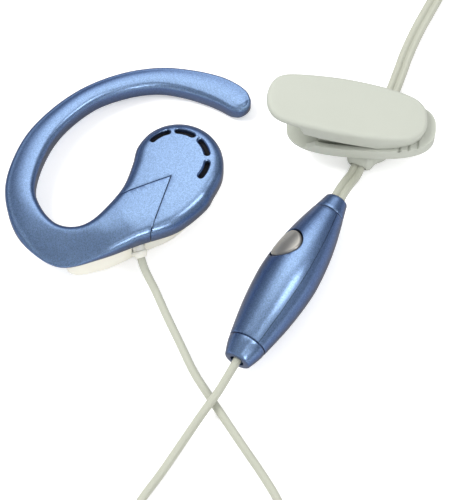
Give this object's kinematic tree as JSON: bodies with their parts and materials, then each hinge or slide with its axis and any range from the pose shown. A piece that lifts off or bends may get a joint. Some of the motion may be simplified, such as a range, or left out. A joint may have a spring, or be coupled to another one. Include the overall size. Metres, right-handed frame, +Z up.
{
  "type": "ear-hook headset",
  "caption": "Ear-hook headset with a round speaker head, an in-line switch pod, a spring clothing clip on the cord and a small jack plug.",
  "frame": {"origin": "on the table under the middle of the hook, pod and clip, leaving out the cords", "axes": "+Z up from the table, +X from the ear hook towards the clip, +Y towards the plug end of the cord"},
  "size_m": [0.1214, 0.2254, 0.0228],
  "materials": {
    "blue_metallic": "metallic flake paint, satin gloss",
    "white_plastic": "moulded, light gloss",
    "ivory_plastic": "moulded, fine texture",
    "cord_ivory": "soft vinyl sheath",
    "silver_plastic": "silver paint",
    "black_plastic": "plain",
    "black_foam": "open foam",
    "steel": "plain or nickel plated",
    "brass": "crimped",
    "copper": "enamelled winding",
    "board_green": "solder mask",
    "clear_film": "thin film"
  },
  "bodies": {
    "headset": {"ear_hook": "blue_metallic", "head_cover": "blue_metallic", "pod_front_shell": "blue_metallic", "pod_back_shell": "blue_metallic", "pod_upper_collar": "blue_metallic", "pod_lower_collar": "blue_metallic", "rear_shell": "white_plastic", "cord_grommet": "white_plastic", "plug_body": "ivory_plastic", "plug_strain_relief": "ivory_plastic", "ear_cord": "cord_ivory", "pod_cord": "cord_ivory", "ear_cord_coil": "cord_ivory", "twin_cord": "cord_ivory", "twin_cord_coil": "cord_ivory", "twin_cord_tail": "cord_ivory", "vent_felt": "black_plastic", "speaker_frame": "black_plastic", "switch_housing": "black_plastic", "microphone_boot": "black_plastic", "jack_insulator_1": "black_plastic", "jack_insulator_2": "black_plastic", "ear_cord_tie": "black_plastic", "twin_cord_tie": "black_plastic", "ear_cushion": "black_foam", "speaker_grille": "steel", "speaker_magnet": "steel", "magnet_yoke": "steel", "microphone": "steel", "jack_sleeve": "steel", "jack_ring": "steel", "jack_tip": "steel", "upper_cord_ferrule": "brass", "lower_cord_ferrule": "brass", "circuit_board": "board_green", "terminal_board": "board_green"},
    "cone": {"speaker_diaphragm": "clear_film", "voice_coil": "copper"},
    "button": {"answer_button": "silver_plastic", "switch_stem": "steel"},
    "holder": {"cord_holder": "ivory_plastic", "swivel_rivet": "steel"},
    "clip_base": {"lower_jaw": "ivory_plastic", "hinge_pin": "steel", "clip_spring": "steel"},
    "clip_jaw": {"upper_jaw": "ivory_plastic"}
  },
  "joints": [
    {"name": "speaker_cone_travel", "type": "slide", "parent": "headset", "child": "cone", "axis": [0, 0, 1], "range_m": [-0.0002, 0.0002], "stiffness_N_per_m": 150},
    {"name": "answer_button_press", "type": "slide", "parent": "headset", "child": "button", "axis": [0.6022, -0.3463, -0.7193], "range_m": [0, 0.0004], "stiffness_N_per_m": 600},
    {"name": "clip_slide_on_cord", "type": "slide", "parent": "headset", "child": "holder", "axis": [0.3987, 0.9171, 0], "range_m": [-0.002, 0.004]},
    {"name": "clip_swivel", "type": "hinge", "parent": "holder", "child": "clip_base", "pos_m": [0.03678, 0.02157, 0.007], "axis": [0, 0, 1], "range_deg": [-30, 20]},
    {"name": "clip_open", "type": "hinge", "parent": "clip_base", "child": "clip_jaw", "pos_m": [0.02611, 0.02231, 0.0128], "axis": [-0.0698, -0.9976, 0], "range_deg": [0, 24], "stiffness_Nm_per_rad": 0.02, "springref_deg": -17.19}
  ]
}
